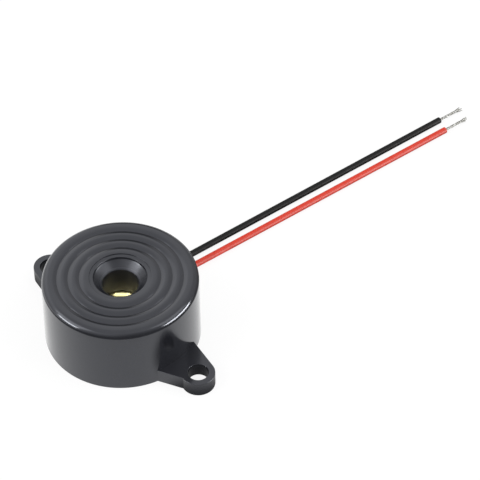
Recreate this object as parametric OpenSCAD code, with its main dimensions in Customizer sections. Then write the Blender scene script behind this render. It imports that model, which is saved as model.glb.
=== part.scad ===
// Round piezo buzzer with two mounting ears and two loose leads.
// The origin is the centre of the open base. +Z points out of the sound hole,
// the two ears lie along X and the leads run out towards +Y.
// All sizes are in millimetres.

/* [Housing] */
// Outside diameter at the open base
base_d = 30; // [29:0.1:34]
// Outside diameter at the front face
top_d = 29.7; // [29:0.1:34]
// Height from the base to the front face
housing_h = 14.8; // [13:0.1:20]
// Radius of the rounded front edge
edge_r = 1.3; // [0.5:0.1:1.6]
// Thickness of the front wall
front_wall = 1.6; // [1.2:0.1:2]
// Diameter of the chamber in front of the disc
chamber_d = 25.2; // [22:0.1:26]

/* [Front rings] */
// Diameter of the outer ring groove at its bottom
ring_outer_d = 23.9; // [22.5:0.1:25.5]
// Diameter of the middle ring groove at its bottom
ring_middle_d = 19.7; // [18.5:0.1:21]
// Diameter of the inner ring groove at its bottom
ring_inner_d = 15.4; // [14.6:0.1:16.8]
// Depth of each groove
ring_depth = 0.25; // [0.15:0.05:0.35]
// Width of the gentle side of each groove, nearer to the middle
ring_gentle_w = 0.85; // [0.6:0.05:1]
// Width of the steep side of each groove
ring_steep_w = 0.5; // [0.4:0.05:0.7]

/* [Sound hole] */
// Diameter of the shallow step round the bowl
step_d = 11.7; // [11:0.1:13]
// Depth of that step
step_depth = 0.2; // [0.1:0.05:0.5]
// Diameter of the bowl's rim
bowl_d = 10.4; // [8.5:0.1:10.8]
// Inside diameter of the sound tube
throat_d = 6.9; // [5:0.1:7.6]
// Width of the bevel round the bowl's rim
bowl_bevel = 0.35; // [0.1:0.05:0.5]
// Wall of the sound tube
tube_wall = 1.3; // [0.8:0.1:1.6]
// Gap between the tube's end and the disc
tube_gap = 0.5; // [0.3:0.05:1]

/* [Ears] */
// Distance between the two screw holes
hole_pitch = 40; // [38:0.5:46]
// Diameter of each screw hole
hole_d = 3.9; // [3:0.1:4.5]
// Radius of the round ear tip
ear_r = 3.2; // [2.9:0.1:4]
// Thickness of the ears
ear_t = 3; // [2:0.1:4]
// Half width of an ear where it leaves the wall
ear_root = 4.95; // [4:0.05:6]
// Angle round the tip where the stepped edge ends
ear_step_angle = 248; // [235:1:260]

/* [Disc] */
// Diameter of the brass disc
disc_d = 27; // [26.5:0.1:27.2]
// Thickness of the brass disc
disc_t = 0.25; // [0.15:0.05:0.4]
// Height of the shoulder that the disc is glued against
disc_z = 6.5; // [6.2:0.1:8]
// Clearance round the disc
disc_clear = 0.1; // [0.05:0.05:0.2]
// Diameter of the piezo ceramic
ceramic_d = 20; // [17:0.1:22]
// Thickness of the piezo ceramic
ceramic_t = 0.25; // [0.15:0.05:0.4]
// Thickness of the silver electrodes
silver_t = 0.05; // [0.03:0.01:0.1]
// Bare margin between the silver and the ceramic's edge
silver_margin = 0.6; // [0.3:0.1:1]
// Width of the feedback tongue
tongue_w = 3.2; // [2.4:0.1:4]
// Insulating gap round the feedback tongue
tongue_gap = 0.5; // [0.3:0.1:0.8]
// Width of the glue fillet under the disc
glue_w = 1.1; // [0.6:0.1:1.6]
// Depth of the glue fillet down the wall
glue_h = 1.2; // [0.6:0.1:1.6]

/* [Board] */
// Diameter of the circuit board
board_d = 27.8; // [27.6:0.1:28.2]
// Thickness of the circuit board
board_t = 0.8; // [0.6:0.1:1]
// Clearance round the circuit board
board_clear = 0.1; // [0.05:0.05:0.15]
// Thickness of the copper on the board
copper_t = 0.05; // [0.03:0.01:0.1]
// Depth that the potting is set back from the base
potting_recess = 0.2; // [0.1:0.05:0.3]
// Thickness of the potting behind the board
potting_t = 1.5; // [1.45:0.05:1.8]
// Play left round pieces that the potting and solder enclose
cast_play = 0.03; // [0.01:0.01:0.05]

/* [Leads] */
// Outside diameter of the insulated leads
lead_d = 1.3; // [1:0.05:1.4]
// Diameter of the stranded core
core_d = 0.5; // [0.3:0.05:0.6]
// Length of bare core at the far ends
bare_len = 5.8; // [3:0.1:8]
// Potting left beside the leads in the notch
notch_margin = 0.5; // [0.3:0.1:0.8]

/* [Hidden] */

$fn = 96;
through = 1;            // how far a cutter runs past the face that it opens
groove_start = 4;       // slope of a groove's sides where they leave the face

base_r = base_d / 2;
top_r = top_d / 2;
step_r = step_d / 2;
bowl_r = bowl_d / 2;
throat_r = throat_d / 2;
chamber_r = chamber_d / 2;
disc_r = disc_d / 2;
ceramic_r = ceramic_d / 2;
board_r = board_d / 2;
lead_r = lead_d / 2;
core_r = core_d / 2;
hole_x = hole_pitch / 2;

bowl_drop = bowl_r - throat_r;
bowl_top = housing_h - step_depth;
throat_z = bowl_top - bowl_drop;
bowl_bend = 23;         // the bowl's slope is 45 degrees less this below, and more at the rim
bowl_arc = bowl_drop / sqrt(2) / sin(bowl_bend);
bowl_center_r = throat_r - bowl_arc * sin(45 - bowl_bend);
bowl_center_z = throat_z + bowl_arc * cos(45 - bowl_bend);
tube_r = throat_r + tube_wall;
tube_end = disc_z + tube_gap;
chamber_top = housing_h - front_wall;

disc_pocket_r = disc_r + disc_clear;
board_pocket_r = board_r + board_clear;
disc_under = disc_z - disc_t;
ceramic_under = disc_under - ceramic_t;
silver_under = ceramic_under - silver_t;
silver_r = ceramic_r - silver_margin;

board_z = potting_recess + potting_t;
board_top = board_z + board_t;
part_z = board_top + copper_t;

// Routes of the leads, from where the insulation starts inside the housing to
// where it is stripped. They lie on the surface that the buzzer stands on.
black_route = [
    [-5.79, 10.5, 0.95], [-5.52, 12, 0.95], [-5.16, 14, 0.95], [-4.8, 16, 0.95],
    [-4.44, 18, 0.8], [-4.08, 20, 0.7], [-3.54, 23, 0.65], [-3, 26, 0.65],
    [-2.46, 29, 0.65], [-1.92, 32, 0.65], [-1.38, 35, 0.65], [-0.84, 38, 0.65],
    [-0.3, 41, 0.65], [0.24, 44, 0.65], [0.78, 47, 0.65], [1.32, 50, 0.65],
    [1.86, 53, 0.65], [2.4, 56, 0.65], [2.94, 59, 0.65], [3.48, 62, 0.65],
    [4.02, 65, 0.65], [4.56, 68, 0.65], [5.1, 71, 0.65], [5.64, 74, 0.65],
    [6.18, 77, 0.65], [6.72, 80, 0.65], [7.26, 83, 0.65], [7.73, 85.6, 0.65]
];
red_route = [
    [-2.98, 10.5, 0.95], [-2.71, 12, 0.95], [-2.34, 14, 0.95], [-1.97, 16, 0.95],
    [-1.61, 18, 0.8], [-1.24, 20, 0.7], [-0.69, 23, 0.65], [-0.14, 26, 0.65],
    [0.41, 29, 0.65], [0.96, 32, 0.65], [1.51, 35, 0.65], [2.06, 38, 0.65],
    [2.61, 41, 0.65], [3.16, 44, 0.65], [3.71, 47, 0.65], [4.26, 50, 0.65],
    [4.81, 53, 0.65], [5.36, 56, 0.65], [5.91, 59, 0.65], [6.46, 62, 0.65],
    [7.01, 65, 0.65], [7.56, 68, 0.65], [8.11, 71, 0.65], [8.66, 74, 0.65],
    [9.21, 77, 0.65], [9.76, 80, 0.65], [10.51, 84.1, 0.65]
];
lead_sides = 8;

// The leads pass the wall between the third and fourth points of their routes.
wall_mid = (black_route[2] + black_route[3] + red_route[2] + red_route[3]) / 4;
lead_run = black_route[3] - black_route[1];
lead_skew = atan2(lead_run[0], lead_run[1]);
lead_pitch = (red_route[2][0] - black_route[2][0]) * cos(lead_skew);
notch_w = lead_pitch + 2 * (lead_r + notch_margin);
notch_reach = 4;        // half length of the notch cutter along the leads

lead_pad_r = 1.1;       // radius of the solder round each lead's inner end
lead_pad_back = 1.4;    // from the insulation back to the middle of that solder
inner_bare_len = lead_pad_back + lead_pad_r / 2;

// Places on the board
main_wire_at = [-6, 3.5];
feedback_wire_at = [0, 7];
brass_wire_at = [-8.9, 6.8];
transistor_at = [5, 2.5];
resistor_at = [[-5.5, -1.5], [-5.5, -4.5], [-5.5, -7.5]];
capacitor_at = [7.5, 6.5];
diode_at = [9.8, -2];
choke_at = [2, -6];

// Sizes of the board's parts: length, width, height
chip_size = [2, 1.25, 0.55];
chip_cap = 0.35;
capacitor_size = [2, 1.25, 0.85];
transistor_size = [2.9, 1.3, 0.95];
transistor_lift = 0.1;
leg_w = 0.42;
leg_t = 0.12;
leg_reach = 0.55;
leg_pitch = 0.95;
leg_feet = [[-leg_pitch, -1], [leg_pitch, -1], [0, 1]];   // place along the body, side
diode_r = 0.7;
diode_len = 3.5;
diode_cap_len = 0.6;
diode_cap_step = 0.05;
choke_r = 3;
choke_h = 2.6;
choke_flange = 0.5;
choke_mid_r = 1.3;
choke_wind_r = 2.55;

track_w = 0.5;
pad_overhang = 0.15;    // how far a pad reaches past the end of its part

// Copper tracks between the pads, each a line of points
chip_end = [(chip_size[0] - chip_cap) / 2, 0];
capacitor_end = [(capacitor_size[0] - chip_cap) / 2, 0];
diode_end = [0, (diode_len - diode_cap_len) / 2];
foot_y = transistor_size[1] / 2 + leg_reach;
tracks = [
    [main_wire_at, transistor_at + [0, 1]],
    [feedback_wire_at, capacitor_at - capacitor_end],
    [brass_wire_at, [-8.9, 1], resistor_at[0] - chip_end],
    [resistor_at[0] - chip_end, resistor_at[2] - chip_end],
    [resistor_at[0] + chip_end, [1.3, -1.5], transistor_at - [leg_pitch, foot_y]],
    [resistor_at[1] + chip_end, [2, -4.5]],
    [resistor_at[2] + chip_end, [2, -7.5]],
    [transistor_at + [leg_pitch, -foot_y], [7.8, -0.5], diode_at + diode_end],
    [diode_at - diode_end, [7.3, -6], choke_at],
    [capacitor_at + capacitor_end, [9.8, 5], diode_at + diode_end]
];

wire_r = 0.2;
wire_pad_r = 0.9;
wire_solder_tip = 0.4;
wire_solder_h = 0.5;

// Tube of n sides round a line of points
function unit(v) = v / norm(v);
function along(p, i) = unit(p[min(i + 1, len(p) - 1)] - p[max(i - 1, 0)]);
function ring_at(p, i, r, n) =
    let(t = along(p, i), s = unit(cross(t, [0, 0, 1])), w = cross(s, t))
    [for (k = [0:n - 1]) p[i] + r * (cos(360 * (k + 0.5) / n) * s + sin(360 * (k + 0.5) / n) * w)];

module tube(p, r, n) {
    last = len(p) - 1;
    points = [for (i = [0:last]) each ring_at(p, i, r, n)];
    sides = [for (i = [0:last - 1], k = [0:n - 1])
        [i * n + k, i * n + (k + 1) % n, (i + 1) * n + (k + 1) % n, (i + 1) * n + k]];
    near_cap = [[for (k = [0:n - 1]) n - 1 - k]];
    far_cap = [[for (k = [0:n - 1]) last * n + k]];
    polyhedron(points, concat(near_cap, sides, far_cap));
}

// Round bar from one point to another
module bar(from, to, r) {
    run = to - from;
    translate(from)
        rotate([0, acos(run[2] / norm(run)), atan2(run[1], run[0])])
            cylinder(h = norm(run), r = r);
}

// Point where a line from p touches the circle of radius r about c, on its left
function touch(p, c, r) =
    let(d = c - p, a = atan2(d[1], d[0]) + asin(r / norm(d)))
    p + sqrt(d * d - r * r) * [cos(a), sin(a)];

module ear() {
    root_x = sqrt(base_r * base_r - ear_root * ear_root);
    tip = [hole_x, 0];
    linear_extrude(ear_t) {
        translate(tip) circle(ear_r);
        polygon([
            [0, -ear_root], [root_x, -ear_root],
            tip + ear_r * [cos(ear_step_angle), sin(ear_step_angle)], tip,
            touch([root_x, ear_root], tip, ear_r), [root_x, ear_root], [0, ear_root]
        ]);
    }
}

// Outside of the cup: a slightly tapered wall with a rounded front edge
module cup_outside() {
    shoulder_z = housing_h - edge_r;
    rotate_extrude() {
        polygon([[0, 0], [base_r, 0], [top_r, shoulder_z], [0, shoulder_z]]);
        square([top_r - edge_r, housing_h]);
        translate([top_r - edge_r, shoulder_z])
            intersection() {
                circle(edge_r);
                square(edge_r);
            }
    }
}

// Stepped hollow: pocket for the board, pocket for the disc, then the chamber
module cup_inside() {
    rotate_extrude()
        polygon([
            [0, -through], [board_pocket_r, -through], [board_pocket_r, board_top],
            [disc_pocket_r, board_top], [disc_pocket_r, disc_z], [chamber_r, disc_z],
            [chamber_r, chamber_top], [bowl_r + front_wall, chamber_top],
            [tube_r, throat_z - front_wall], [tube_r, tube_end], [0, tube_end]
        ]);
}

// Shallow step, hollow round bowl with a bevelled rim, and straight tube
module sound_hole() {
    translate([0, 0, bowl_top]) cylinder(h = step_depth + through, r = step_r);
    rotate_extrude() {
        intersection() {
            translate([bowl_center_r, bowl_center_z]) circle(bowl_arc);
            translate([0, throat_z]) square([bowl_r, bowl_drop]);
        }
        polygon([
            [0, bowl_top - bowl_bevel], [bowl_r - bowl_bevel, bowl_top - bowl_bevel],
            [bowl_r + bowl_bevel, bowl_top], [bowl_r + bowl_bevel, housing_h], [0, housing_h]
        ]);
        translate([0, disc_z]) square([throat_r, housing_h - disc_z]);
    }
}

// Round side of a groove: it starts almost level at the face, a width w from
// the bottom, and is steepest at the bottom. The groove lies to its right.
module groove_side(w) {
    chord = sqrt(w * w + ring_depth * ring_depth);
    lean = atan2(ring_depth, w);
    r = chord / 2 / sin(lean - groove_start);
    drop = sqrt(r * r - chord * chord / 4);
    translate([-w / 2 - drop * sin(lean), -ring_depth / 2 - drop * cos(lean)]) circle(r);
}

module ring_grooves() {
    for (d = [ring_outer_d, ring_middle_d, ring_inner_d])
        rotate_extrude()
            translate([d / 2, housing_h])
                difference() {
                    translate([-ring_gentle_w, -ring_depth])
                        square([ring_gentle_w + ring_steep_w, ring_depth + through]);
                    groove_side(ring_gentle_w);
                    mirror([1, 0]) groove_side(ring_steep_w);
                }
}

// The gap in the wall that the leads pass through
module lead_notch(bottom) {
    translate([wall_mid[0], wall_mid[1], bottom])
        rotate(-lead_skew)
            translate([-notch_w / 2, -notch_reach, 0])
                cube([notch_w, 2 * notch_reach, board_z - bottom]);
}

module housing() {
    color([0.09, 0.09, 0.1])
        difference() {
            union() {
                cup_outside();
                for (turn = [0, 180])
                    rotate(turn) ear();
            }
            cup_inside();
            sound_hole();
            ring_grooves();
            lead_notch(-through);
            for (side = [-1, 1])
                translate([side * hole_x, 0, -through])
                    cylinder(h = ear_t + 2 * through, d = hole_d);
        }
}

module brass_disc() {
    color([0.8, 0.62, 0.25])
        translate([0, 0, disc_under]) cylinder(h = disc_t, r = disc_r);
}

module ceramic_disc() {
    color([0.9, 0.88, 0.8])
        translate([0, 0, ceramic_under]) cylinder(h = ceramic_t, r = ceramic_r);
}

// Tongue that reaches from near the middle to the edge of the silver
module tongue(grow) {
    translate([0, tongue_w]) circle(tongue_w / 2 + grow);
    translate([-tongue_w / 2 - grow, tongue_w]) square([tongue_w + 2 * grow, ceramic_r]);
}

module main_electrode() {
    color([0.8, 0.8, 0.8])
        translate([0, 0, silver_under])
            linear_extrude(silver_t)
                difference() {
                    circle(silver_r);
                    tongue(tongue_gap);
                }
}

module feedback_electrode() {
    color([0.8, 0.8, 0.8])
        translate([0, 0, silver_under])
            linear_extrude(silver_t)
                intersection() {
                    circle(silver_r);
                    tongue(0);
                }
}

// Fillet of silicone that holds the disc's rim against the shoulder
module glue_ring() {
    outer = disc_pocket_r - cast_play;
    color([0.85, 0.85, 0.82])
        rotate_extrude()
            polygon([[outer - glue_w, disc_under], [outer, disc_under - glue_h], [outer, disc_under]]);
}

module circuit_board() {
    color([0.55, 0.4, 0.2])
        translate([0, 0, board_z]) cylinder(h = board_t, r = board_r);
}

module chip_pads(at, size, cap) {
    for (side = [-1, 1])
        translate([at[0] + side * (size[0] - cap) / 2, at[1]])
            square([cap + 2 * pad_overhang, size[1]], center = true);
}

// Straight runs whose square ends overlap at the bends
module track(points) {
    for (i = [1:len(points) - 1]) {
        run = points[i] - points[i - 1];
        translate(points[i - 1])
            rotate(atan2(run[1], run[0]))
                translate([-track_w / 2, -track_w / 2]) square([norm(run) + track_w, track_w]);
    }
}

// Middle of the solder that joins a lead to the board
function lead_way(route) = unit(route[1] - route[0]);
function lead_pad(route) = route[0] - lead_pad_back * lead_way(route);

module copper_pads() {
    color([0.8, 0.5, 0.3]) {
        translate([0, 0, board_top])
            linear_extrude(copper_t) {
                for (at = resistor_at)
                    chip_pads(at, chip_size, chip_cap);
                chip_pads(capacitor_at, capacitor_size, chip_cap);
                translate(diode_at) rotate(90)
                    chip_pads([0, 0], [diode_len, 2 * diode_r, 0], diode_cap_len);
                for (foot = leg_feet)
                    translate(transistor_at + [foot[0], foot[1] * foot_y])
                        square([2 * leg_w, 2 * leg_reach], center = true);
                translate(choke_at) circle(choke_r);
                for (at = [main_wire_at, feedback_wire_at, brass_wire_at])
                    translate(at) circle(wire_pad_r);
                for (points = tracks)
                    track(points);
            }
        for (route = [black_route, red_route])
            translate([lead_pad(route)[0], lead_pad(route)[1], board_z - copper_t])
                cylinder(h = copper_t, r = lead_pad_r);
    }
}

module transistor() {
    color([0.12, 0.12, 0.12])
        translate([transistor_at[0], transistor_at[1], part_z + transistor_lift + transistor_size[2] / 2])
            cube(transistor_size, center = true);
}

// One bent leg, from the side of the body down to its pad
module gull_leg() {
    top = transistor_lift + transistor_size[2] / 2;
    bend = leg_reach / 3;
    translate([leg_w / 2, 0, 0])
        rotate([90, 0, -90])
            linear_extrude(leg_w)
                polygon([
                    [0, top], [-bend, top], [-2 * bend, leg_t], [-leg_reach, leg_t],
                    [-leg_reach, 0], [-2 * bend + leg_t, 0], [-bend + leg_t, top - leg_t], [0, top - leg_t]
                ]);
}

module transistor_legs() {
    color([0.75, 0.75, 0.75])
        for (foot = leg_feet)
            translate([transistor_at[0] + foot[0], transistor_at[1] + foot[1] * transistor_size[1] / 2, part_z])
                rotate(foot[1] > 0 ? 0 : 180) gull_leg();
}

module chip(at, size) {
    translate([at[0], at[1], part_z + size[2] / 2]) cube(size, center = true);
}

module resistor_1() {
    color([0.15, 0.15, 0.17]) chip(resistor_at[0], chip_size);
}

module resistor_2() {
    color([0.15, 0.15, 0.17]) chip(resistor_at[1], chip_size);
}

module resistor_3() {
    color([0.15, 0.15, 0.17]) chip(resistor_at[2], chip_size);
}

module capacitor() {
    color([0.7, 0.55, 0.35]) chip(capacitor_at, capacitor_size);
}

// The diode lies along Y on its two end caps.
module diode() {
    glass_len = diode_len - 2 * diode_cap_len;
    color([0.6, 0.3, 0.2])
        translate([diode_at[0], diode_at[1] + glass_len / 2, part_z + diode_r])
            rotate([90, 0, 0]) cylinder(h = glass_len, r = diode_r - diode_cap_step);
}

module diode_caps() {
    color([0.75, 0.75, 0.75])
        for (side = [-1, 1])
            translate([diode_at[0], diode_at[1] + side * (diode_len - diode_cap_len) / 2, part_z + diode_r])
                rotate([90, 0, 0]) cylinder(h = diode_cap_len, r = diode_r, center = true);
}

module choke_core() {
    color([0.2, 0.2, 0.2])
        translate([choke_at[0], choke_at[1], part_z]) {
            cylinder(h = choke_h, r = choke_mid_r);
            for (z = [0, choke_h - choke_flange])
                translate([0, 0, z]) cylinder(h = choke_flange, r = choke_r);
        }
}

module choke_winding() {
    color([0.75, 0.4, 0.2])
        translate([choke_at[0], choke_at[1], part_z + choke_flange + cast_play])
            difference() {
                cylinder(h = choke_h - 2 * (choke_flange + cast_play), r = choke_wind_r);
                translate([0, 0, -through]) cylinder(h = choke_h + 2 * through, r = choke_mid_r + cast_play);
            }
}

// Wires that join the board to the disc
module disc_wire(at, top) {
    translate([at[0], at[1], part_z]) cylinder(h = top - part_z, r = wire_r);
}

module disc_wire_main() {
    color([0.7, 0.2, 0.15]) disc_wire(main_wire_at, silver_under);
}

module disc_wire_feedback() {
    color([0.2, 0.3, 0.6]) disc_wire(feedback_wire_at, silver_under);
}

module disc_wire_brass() {
    color([0.15, 0.15, 0.15]) disc_wire(brass_wire_at, disc_under);
}

// Cone of solder with the wire's hole in it. way is 1 upwards, -1 downwards.
module solder_cone(at, z, way) {
    translate([at[0], at[1], z])
        mirror([0, 0, way < 0 ? 1 : 0])
            difference() {
                cylinder(h = wire_solder_h, r1 = wire_pad_r, r2 = wire_solder_tip);
                translate([0, 0, -through])
                    cylinder(h = wire_solder_h + 2 * through, r = wire_r + cast_play);
            }
}

module disc_solder() {
    color([0.8, 0.8, 0.8]) {
        solder_cone(main_wire_at, silver_under, -1);
        solder_cone(feedback_wire_at, silver_under, -1);
        solder_cone(brass_wire_at, disc_under, -1);
    }
}

module board_solder() {
    color([0.8, 0.8, 0.8])
        for (at = [main_wire_at, feedback_wire_at, brass_wire_at])
            solder_cone(at, part_z, 1);
}

// Half ball of solder under the board, round the lead's bare inner end
module lead_ball(route, r) {
    at = lead_pad(route);
    translate([at[0], at[1], board_z - copper_t])
        intersection() {
            sphere(r);
            translate([-2 * r, -2 * r, -2 * r]) cube([4 * r, 4 * r, 2 * r]);
        }
}

// Straight channel along a lead, from its solder to outside the wall
module lead_channel(route, r) {
    bar(lead_pad(route), route[3] + lead_way(route), r);
}

module lead_solder() {
    color([0.8, 0.8, 0.8])
        for (route = [black_route, red_route])
            difference() {
                lead_ball(route, lead_pad_r);
                bar(lead_pad(route) - inner_bare_len * lead_way(route), route[0], core_r + cast_play);
            }
}

// Compound that closes the back and fills the notch round the leads
module potting() {
    color([0.06, 0.06, 0.06])
        difference() {
            intersection() {
                union() {
                    translate([0, 0, potting_recess])
                        cylinder(h = potting_t, r = board_pocket_r - cast_play);
                    lead_notch(potting_recess);
                }
                cylinder(h = board_z, r = base_r - potting_recess);
            }
            for (route = [black_route, red_route]) {
                lead_channel(route, lead_r + cast_play);
                lead_ball(route, lead_pad_r + cast_play);
                translate([lead_pad(route)[0], lead_pad(route)[1], board_z - copper_t])
                    cylinder(h = copper_t + through, r = lead_pad_r + cast_play);
            }
        }
}

// The bare ends of a lead's core: one at the board, one at the far end
module core_ends(route) {
    last = len(route) - 1;
    bar(route[0] - inner_bare_len * lead_way(route), route[0], core_r);
    bar(route[last], route[last] + bare_len * along(route, last), core_r);
}

module black_lead() {
    color([0.08, 0.08, 0.08]) tube(black_route, lead_r, lead_sides);
}

module black_lead_core() {
    color([0.75, 0.75, 0.75]) core_ends(black_route);
}

module red_lead() {
    color([0.75, 0.12, 0.08]) tube(red_route, lead_r, lead_sides);
}

module red_lead_core() {
    color([0.75, 0.75, 0.75]) core_ends(red_route);
}

housing();
brass_disc();
ceramic_disc();
main_electrode();
feedback_electrode();
glue_ring();
circuit_board();
copper_pads();
transistor();
transistor_legs();
resistor_1();
resistor_2();
resistor_3();
capacitor();
diode();
diode_caps();
choke_core();
choke_winding();
disc_wire_main();
disc_wire_feedback();
disc_wire_brass();
disc_solder();
board_solder();
lead_solder();
potting();
black_lead();
black_lead_core();
red_lead();
red_lead_core();
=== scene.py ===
import math
import random

import bpy
from mathutils import Matrix, Vector


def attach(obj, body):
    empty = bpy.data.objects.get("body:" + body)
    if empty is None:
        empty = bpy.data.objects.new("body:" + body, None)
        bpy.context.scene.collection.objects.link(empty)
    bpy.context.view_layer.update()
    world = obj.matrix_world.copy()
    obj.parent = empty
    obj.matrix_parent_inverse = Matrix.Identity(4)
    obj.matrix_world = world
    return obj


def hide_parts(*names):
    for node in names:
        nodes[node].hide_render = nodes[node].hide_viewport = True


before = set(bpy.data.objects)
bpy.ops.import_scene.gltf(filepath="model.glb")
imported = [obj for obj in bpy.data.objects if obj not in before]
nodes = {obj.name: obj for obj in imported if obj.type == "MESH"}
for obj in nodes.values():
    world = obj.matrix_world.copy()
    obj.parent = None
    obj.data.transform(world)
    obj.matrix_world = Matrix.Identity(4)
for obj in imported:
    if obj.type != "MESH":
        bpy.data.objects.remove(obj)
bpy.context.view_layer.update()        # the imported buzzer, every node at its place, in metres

print("frame loaded,", len(nodes), "nodes")


# Camera. Azimuth 0 looks along +Y, and the camera stands back from the point that it aims at.
cameraPlace = {
    "aim": (0.0004061, 0.0324725, 0.0),
    "azimuth": 43.21,
    "elevation": 46.18,
    "roll": -0.31,
    "distance": 0.475234,
    "lens": 179.25,            # mm, on a sensor of sensorWidth
    "sensorWidth": 36,
    "clipStart": 0.01,
}


def directionOf(azimuth, elevation):
    turn, rise = math.radians(azimuth), math.radians(elevation)
    return Vector((math.sin(turn) * math.cos(rise), -math.cos(turn) * math.cos(rise), math.sin(rise)))


def addCamera(place):
    away = directionOf(place["azimuth"], place["elevation"])
    bpy.ops.object.camera_add(location=Vector(place["aim"]) + place["distance"] * away)
    camera = bpy.context.object
    camera.name = "camera"
    camera.rotation_mode = "QUATERNION"
    turn = (
        Matrix.Rotation(math.radians(place["azimuth"]), 3, "Z")
        @ Matrix.Rotation(math.radians(90 - place["elevation"]), 3, "X")
        @ Matrix.Rotation(math.radians(place["roll"]), 3, "Z")
    )
    camera.rotation_quaternion = turn.to_quaternion()
    camera.data.sensor_width = place["sensorWidth"]
    camera.data.lens = place["lens"]
    camera.data.clip_start = place["clipStart"]
    bpy.context.scene.camera = camera


addCamera(cameraPlace)
print("camera placed")


# Small helpers for edit mode
mergeWithin = 0.000001         # places closer than this are one


def deselectAll():
    if bpy.context.mode != "OBJECT":
        bpy.ops.object.mode_set(mode="OBJECT")
    bpy.ops.object.select_all(action="DESELECT")


def activate(piece):
    deselectAll()
    piece.select_set(True)
    bpy.context.view_layer.objects.active = piece


def applyModifiers(piece):
    activate(piece)
    for modifier in list(piece.modifiers):
        bpy.ops.object.modifier_apply(modifier=modifier.name)


def cutOrJoin(piece, other, operation):
    boolean = piece.modifiers.new("boolean", "BOOLEAN")
    boolean.operation = operation
    boolean.solver = "EXACT"
    boolean.object = other
    applyModifiers(piece)
    bpy.data.objects.remove(other, do_unlink=True)


def selectWhere(piece, kind, wanted):
    bpy.ops.object.mode_set(mode="OBJECT")
    mesh = piece.data
    for part in list(mesh.polygons) + list(mesh.edges) + list(mesh.vertices):
        part.select = False
    for part in getattr(mesh, kind):
        part.select = wanted(part)
    bpy.ops.object.mode_set(mode="EDIT")


def softShade(piece, angle=30):
    activate(piece)
    bpy.ops.object.shade_smooth_by_angle(angle=math.radians(angle))
    weighted = piece.modifiers.new("weighted", "WEIGHTED_NORMAL")
    weighted.keep_sharp = True
    weighted.weight = 60
    applyModifiers(piece)


# Leads. Each route runs from inside the potting to where the insulation is cut.
leadSizes = {
    "radius": 0.00065,
    "sides": 20,
    "boreRadius": 0.00029,     # hole that the strands come out of
    "boreDepth": 0.0007,
    "rimWidth": 0.00004,       # flat rim round the cut end
    "mergeWithin": 0.000002,
}
blackRoute = [
    (-0.00579, 0.0105, 0.00095), (-0.00552, 0.012, 0.00095), (-0.00516, 0.014, 0.00095),
    (-0.0048, 0.016, 0.00095), (-0.00444, 0.018, 0.0008), (-0.00408, 0.02, 0.0007),
    (-0.00354, 0.023, 0.00065), (-0.003, 0.026, 0.00065), (-0.00246, 0.029, 0.00065),
    (-0.00192, 0.032, 0.00065), (-0.00138, 0.035, 0.00065), (-0.00084, 0.038, 0.00065),
    (-0.0003, 0.041, 0.00065), (0.00024, 0.044, 0.00065), (0.00078, 0.047, 0.00065),
    (0.00132, 0.05, 0.00065), (0.00186, 0.053, 0.00065), (0.0024, 0.056, 0.00065),
    (0.00294, 0.059, 0.00065), (0.00348, 0.062, 0.00065), (0.00402, 0.065, 0.00065),
    (0.00456, 0.068, 0.00065), (0.0051, 0.071, 0.00065), (0.00564, 0.074, 0.00065),
    (0.00618, 0.077, 0.00065), (0.00672, 0.08, 0.00065), (0.00726, 0.083, 0.00065),
    (0.00773, 0.0856, 0.00065),
]
redRoute = [
    (-0.00298, 0.0105, 0.00095), (-0.00271, 0.012, 0.00095), (-0.00234, 0.014, 0.00095),
    (-0.00197, 0.016, 0.00095), (-0.00161, 0.018, 0.0008), (-0.00124, 0.02, 0.0007),
    (-0.00069, 0.023, 0.00065), (-0.00014, 0.026, 0.00065), (0.00041, 0.029, 0.00065),
    (0.00096, 0.032, 0.00065), (0.00151, 0.035, 0.00065), (0.00206, 0.038, 0.00065),
    (0.00261, 0.041, 0.00065), (0.00316, 0.044, 0.00065), (0.00371, 0.047, 0.00065),
    (0.00426, 0.05, 0.00065), (0.00481, 0.053, 0.00065), (0.00536, 0.056, 0.00065),
    (0.00591, 0.059, 0.00065), (0.00646, 0.062, 0.00065), (0.00701, 0.065, 0.00065),
    (0.00756, 0.068, 0.00065), (0.00811, 0.071, 0.00065), (0.00866, 0.074, 0.00065),
    (0.00921, 0.077, 0.00065), (0.00976, 0.08, 0.00065), (0.01051, 0.0841, 0.00065),
]


def smoothCurve(name, route, radius, bevelResolution=3):
    shape = bpy.data.curves.new(name, "CURVE")
    shape.dimensions = "3D"
    shape.resolution_u = 4
    shape.bevel_depth = radius
    shape.bevel_resolution = bevelResolution
    shape.use_fill_caps = True
    spline = shape.splines.new("BEZIER")
    spline.bezier_points.add(len(route) - 1)
    for knot, place in zip(spline.bezier_points, route):
        knot.co = place
        knot.handle_left_type = knot.handle_right_type = "AUTO"
    piece = bpy.data.objects.new(name, shape)
    bpy.context.scene.collection.objects.link(piece)
    return piece


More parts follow.
